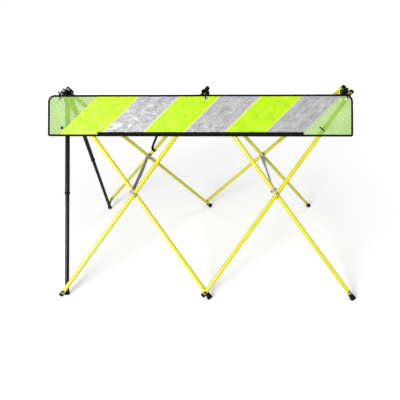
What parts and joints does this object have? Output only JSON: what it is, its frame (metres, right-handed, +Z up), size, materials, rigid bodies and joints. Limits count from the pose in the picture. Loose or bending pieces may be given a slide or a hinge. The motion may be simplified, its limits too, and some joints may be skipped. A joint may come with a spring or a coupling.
{
  "type": "folding sawhorse",
  "caption": "Folding scissor A-frame sawhorse barricade of yellow tubes with a striped banner, telescoping end struts and spreader straps.",
  "frame": {"origin": "centre of the footprint on the floor, under the middle of the object's box", "axes": "+X along the ridge, +Z up, front row with the banner towards -Y"},
  "size_m": [1.6383, 1.1406, 1.0121],
  "materials": {
    "yellow_painted_tube": "gloss powder coat",
    "black_painted_tube": "semi-gloss black coat",
    "black_vinyl": "soft satin vinyl",
    "black_rubber": "matt",
    "black_nylon": "fine moulded texture",
    "black_steel": "black zinc plate",
    "banner_sheet": "vinyl prismatic sheet on green mesh",
    "grey_webbing": "woven polypropylene webbing"
  },
  "bodies": {
    "front_left_outer_leg": {"front_left_outer_tube": "yellow_painted_tube", "front_left_outer_top_cap": "black_vinyl", "front_left_outer_bottom_cap": "black_vinyl", "front_left_crossing_pin": "black_steel", "front_left_bottom_pin": "black_steel"},
    "front_left_inner_leg": {"front_left_inner_tube": "yellow_painted_tube", "front_left_inner_top_cap": "black_vinyl", "front_left_inner_foot": "black_rubber", "front_mid_bottom_pin": "black_steel"},
    "front_right_outer_leg": {"front_right_outer_tube": "yellow_painted_tube", "front_right_outer_top_cap": "black_vinyl", "front_right_outer_bottom_cap": "black_vinyl"},
    "front_right_inner_leg": {"front_right_inner_tube": "yellow_painted_tube", "front_right_inner_top_cap": "black_vinyl", "front_right_inner_foot": "black_rubber", "front_right_crossing_pin": "black_steel", "front_right_bottom_pin": "black_steel"},
    "front_strut_slide": {"front_strut_inner_tube": "black_painted_tube", "front_strut_foot": "black_rubber"},
    "left_hub_front": {"left_hub_front_leaf": "black_nylon", "front_left_top_pin": "black_steel", "front_strut_outer_tube": "black_painted_tube", "left_ridge_pin": "black_steel"},
    "right_hub_front": {"right_hub_front_leaf": "black_nylon", "front_right_top_pin": "black_steel", "right_ridge_pin": "black_steel"},
    "mid_hub_front": {"mid_hub_front_leaf": "black_nylon", "front_mid_top_pin": "black_steel", "mid_ridge_pin": "black_steel", "banner": "banner_sheet"},
    "left_strap_front": {"left_strap_front_half": "grey_webbing"},
    "right_strap_front": {"right_strap_front_half": "grey_webbing"},
    "back_left_outer_leg": {"back_left_outer_tube": "yellow_painted_tube", "back_left_outer_top_cap": "black_vinyl", "back_left_outer_bottom_cap": "black_vinyl", "back_left_crossing_pin": "black_steel", "back_left_bottom_pin": "black_steel"},
    "back_left_inner_leg": {"back_left_inner_tube": "yellow_painted_tube", "back_left_inner_top_cap": "black_vinyl", "back_left_inner_foot": "black_rubber", "back_mid_bottom_pin": "black_steel"},
    "back_right_outer_leg": {"back_right_outer_tube": "yellow_painted_tube", "back_right_outer_top_cap": "black_vinyl", "back_right_outer_bottom_cap": "black_vinyl"},
    "back_right_inner_leg": {"back_right_inner_tube": "yellow_painted_tube", "back_right_inner_top_cap": "black_vinyl", "back_right_inner_foot": "black_rubber", "back_right_crossing_pin": "black_steel", "back_right_bottom_pin": "black_steel"},
    "back_strut_slide": {"back_strut_inner_tube": "black_painted_tube", "back_strut_foot": "black_rubber"},
    "left_hub_back": {"left_hub_back_leaf": "black_nylon", "back_left_top_pin": "black_steel", "back_strut_outer_tube": "black_painted_tube"},
    "right_hub_back": {"right_hub_back_leaf": "black_nylon", "back_right_top_pin": "black_steel"},
    "mid_hub_back": {"mid_hub_back_leaf": "black_nylon", "back_mid_top_pin": "black_steel"},
    "left_strap_back": {"left_strap_back_half": "grey_webbing"},
    "right_strap_back": {"right_strap_back_half": "grey_webbing"}
  },
  "joints": [
    {"name": "spread", "type": "hinge", "parent": "mid_hub_front", "child": "mid_hub_back", "pos_m": [0.01841, 0, 0.98544], "axis": [1, 0, 0], "range_deg": [-53, 0], "deforming": ["left_strap_back_half", "left_strap_front_half", "right_strap_back_half", "right_strap_front_half"]},
    {"name": "scissor", "type": "hinge", "parent": "mid_hub_front", "child": "front_left_outer_leg", "pos_m": [0.01841, -0.07353, 0.98475], "axis": [0, -0.891, 0.454], "range_deg": [0, 33.3], "deforming": ["banner"]},
    {"name": "front_left_crossing", "type": "hinge", "parent": "front_left_outer_leg", "child": "front_left_inner_leg", "pos_m": [-0.3626, -0.28816, 0.50624], "axis": [0, -0.891, 0.454], "range_deg": [-66.6, 0]},
    {"name": "front_right_inner_swing", "type": "hinge", "parent": "mid_hub_front", "child": "front_right_inner_leg", "pos_m": [0.01841, -0.05036, 0.97294], "axis": [0, -0.891, 0.454], "range_deg": [-33.3, 0]},
    {"name": "front_right_crossing", "type": "hinge", "parent": "front_right_inner_leg", "child": "front_right_outer_leg", "pos_m": [0.39941, -0.31132, 0.51805], "axis": [0, -0.891, 0.454], "range_deg": [0, 66.6]},
    {"name": "left_hub_front_swing", "type": "hinge", "parent": "front_left_inner_leg", "child": "left_hub_front", "pos_m": [-0.7436, -0.05036, 0.97294], "axis": [0, -0.891, 0.454], "range_deg": [0, 33.3]},
    {"name": "right_hub_front_swing", "type": "hinge", "parent": "front_right_outer_leg", "child": "right_hub_front", "pos_m": [0.78041, -0.07353, 0.98475], "axis": [0, -0.891, 0.454], "range_deg": [-33.3, 0]},
    {"name": "front_strut_swing", "type": "hinge", "parent": "front_left_outer_leg", "child": "front_strut_slide", "pos_m": [-0.7436, -0.50279, 0.02774], "axis": [0, -0.891, 0.454], "range_deg": [-33.3, 0]},
    {"name": "left_strap_front_swing", "type": "hinge", "parent": "front_left_inner_leg", "child": "left_strap_front", "pos_m": [-0.37671, -0.27935, 0.52354], "axis": [0, -0.891, 0.454], "range_deg": [0, 33.3]},
    {"name": "right_strap_front_swing", "type": "hinge", "parent": "front_right_inner_leg", "child": "right_strap_front", "pos_m": [0.38529, -0.27935, 0.52354], "axis": [0, -0.891, 0.454], "range_deg": [0, 33.3]},
    {"name": "back_left_outer_swing", "type": "hinge", "parent": "mid_hub_back", "child": "back_left_outer_leg", "pos_m": [0.01841, 0.07353, 0.98475], "axis": [0, -0.891, -0.454], "range_deg": [0, 33.3]},
    {"name": "back_left_crossing", "type": "hinge", "parent": "back_left_outer_leg", "child": "back_left_inner_leg", "pos_m": [-0.3626, 0.28816, 0.50624], "axis": [0, -0.891, -0.454], "range_deg": [-66.6, 0]},
    {"name": "back_right_inner_swing", "type": "hinge", "parent": "mid_hub_back", "child": "back_right_inner_leg", "pos_m": [0.01841, 0.05036, 0.97294], "axis": [0, -0.891, -0.454], "range_deg": [-33.3, 0]},
    {"name": "back_right_crossing", "type": "hinge", "parent": "back_right_inner_leg", "child": "back_right_outer_leg", "pos_m": [0.39941, 0.31132, 0.51805], "axis": [0, -0.891, -0.454], "range_deg": [0, 66.6]},
    {"name": "left_hub_back_swing", "type": "hinge", "parent": "back_left_inner_leg", "child": "left_hub_back", "pos_m": [-0.7436, 0.05036, 0.97294], "axis": [0, -0.891, -0.454], "range_deg": [0, 33.3]},
    {"name": "right_hub_back_swing", "type": "hinge", "parent": "back_right_outer_leg", "child": "right_hub_back", "pos_m": [0.78041, 0.07353, 0.98475], "axis": [0, -0.891, -0.454], "range_deg": [-33.3, 0]},
    {"name": "back_strut_swing", "type": "hinge", "parent": "back_left_outer_leg", "child": "back_strut_slide", "pos_m": [-0.7436, 0.50279, 0.02774], "axis": [0, -0.891, -0.454], "range_deg": [-33.3, 0]},
    {"name": "left_strap_back_swing", "type": "hinge", "parent": "back_left_inner_leg", "child": "left_strap_back", "pos_m": [-0.37671, 0.27935, 0.52354], "axis": [0, -0.891, -0.454], "range_deg": [0, 33.3]},
    {"name": "right_strap_back_swing", "type": "hinge", "parent": "back_right_inner_leg", "child": "right_strap_back", "pos_m": [0.38529, 0.27935, 0.52354], "axis": [0, -0.891, -0.454], "range_deg": [0, 33.3]}
  ],
  "couplings": [
    {"joint": "front_left_crossing", "follows": "scissor", "ratio": -2},
    {"joint": "front_right_inner_swing", "follows": "scissor", "ratio": -1},
    {"joint": "front_right_crossing", "follows": "scissor", "ratio": 2},
    {"joint": "left_hub_front_swing", "follows": "scissor", "ratio": 1},
    {"joint": "right_hub_front_swing", "follows": "scissor", "ratio": -1},
    {"joint": "front_strut_swing", "follows": "scissor", "ratio": -1},
    {"joint": "left_strap_front_swing", "follows": "scissor", "ratio": 1},
    {"joint": "right_strap_front_swing", "follows": "scissor", "ratio": 1},
    {"joint": "back_left_outer_swing", "follows": "scissor", "ratio": 1},
    {"joint": "back_left_crossing", "follows": "scissor", "ratio": -2},
    {"joint": "back_right_inner_swing", "follows": "scissor", "ratio": -1},
    {"joint": "back_right_crossing", "follows": "scissor", "ratio": 2},
    {"joint": "left_hub_back_swing", "follows": "scissor", "ratio": 1},
    {"joint": "right_hub_back_swing", "follows": "scissor", "ratio": -1},
    {"joint": "back_strut_swing", "follows": "scissor", "ratio": -1},
    {"joint": "left_strap_back_swing", "follows": "scissor", "ratio": 1},
    {"joint": "right_strap_back_swing", "follows": "scissor", "ratio": 1}
  ]
}
